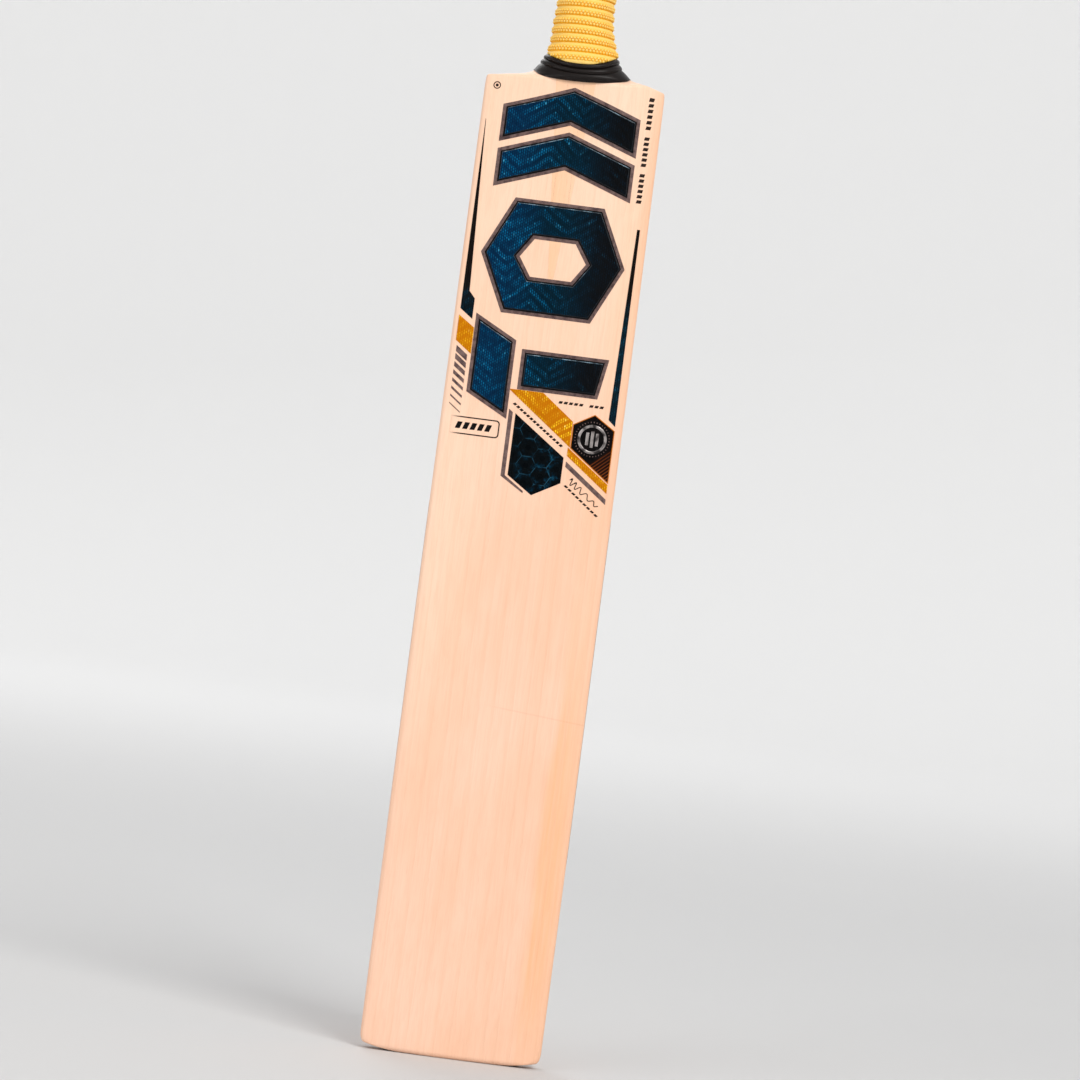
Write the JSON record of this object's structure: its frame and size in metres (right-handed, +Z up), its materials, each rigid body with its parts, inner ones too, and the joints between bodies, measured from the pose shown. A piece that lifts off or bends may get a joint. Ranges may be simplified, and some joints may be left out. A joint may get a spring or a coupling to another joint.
{
  "type": "cricket bat",
  "caption": "Full-size cricket bat with a willow blade, a spliced cane handle, a ribbed rubber grip with a dark collar, and plain geometric foil stickers on the face.",
  "frame": {"origin": "middle of the flat on the bottom of the toe", "axes": "+Z up the bat from the toe to the end of the handle; the hitting face looks along -Y and the spine along +Y; +X is to the right of the face"},
  "size_m": [0.1076, 0.0862, 0.864],
  "materials": {
    "willow": "pale bleached willow, straight grain, satin, lightly oiled",
    "cane": "laminated cane, sanded, satin",
    "spring_rubber": "black sheet rubber, matt",
    "twine": "waxed linen thread, matt",
    "grip_rubber": "yellow moulded rubber with ribs and fine beads, matt",
    "collar_rubber": "near-black stretched rubber, soft sheen",
    "blue_foil": "deep blue to black embossed foil film, gloss",
    "grey_film": "warm grey printed film, satin",
    "gold_foil": "gold embossed foil film, satin gloss",
    "black_film": "black printed film, satin",
    "silver_foil": "silver foil film, gloss"
  },
  "bodies": {
    "root": {"back_band_left": "gold_foil", "back_band_right": "gold_foil", "back_panel_left": "blue_foil", "back_panel_right": "blue_foil", "badge": "black_film", "badge_core": "silver_foil", "badge_ring": "silver_foil", "blade": "willow", "cane_slip_back_centre": "cane", "cane_slip_back_left": "cane", "cane_slip_back_middle_centre": "cane", "cane_slip_back_middle_left": "cane", "cane_slip_back_middle_right": "cane", "cane_slip_back_right": "cane", "cane_slip_front_centre": "cane", "cane_slip_front_left": "cane", "cane_slip_front_middle_centre": "cane", "cane_slip_front_middle_left": "cane", "cane_slip_front_middle_right": "cane", "cane_slip_front_right": "cane", "edge_sticker_left": "blue_foil", "edge_sticker_right": "blue_foil", "gold_band": "gold_foil", "gold_patch": "gold_foil", "gold_strip": "gold_foil", "grey_bar": "grey_film", "grip_collar": "collar_rubber", "grip_sleeve": "grip_rubber", "hatch_bar_1": "grey_film", "hatch_bar_2": "grey_film", "hatch_bar_3": "grey_film", "hatch_bar_4": "grey_film", "hatch_bar_5": "grey_film", "hatch_bar_6": "grey_film", "hatch_bar_7": "grey_film", "hatch_bar_8": "grey_film", "panel_chevron_lower": "blue_foil", "panel_chevron_upper": "blue_foil", "panel_hexagon_ring": "blue_foil", "panel_slash_left": "blue_foil", "panel_slash_right": "blue_foil", "plate_bar": "black_film", "plate_frame": "black_film", "rubber_spring_1": "spring_rubber", "rubber_spring_2": "spring_rubber", "rubber_spring_3": "spring_rubber", "shield": "blue_foil", "shield_trim": "grey_film", "side_print": "black_film", "stripe_left": "blue_foil", "stripe_right": "blue_foil", "twine_binding": "twine"}
  },
  "joints": []
}
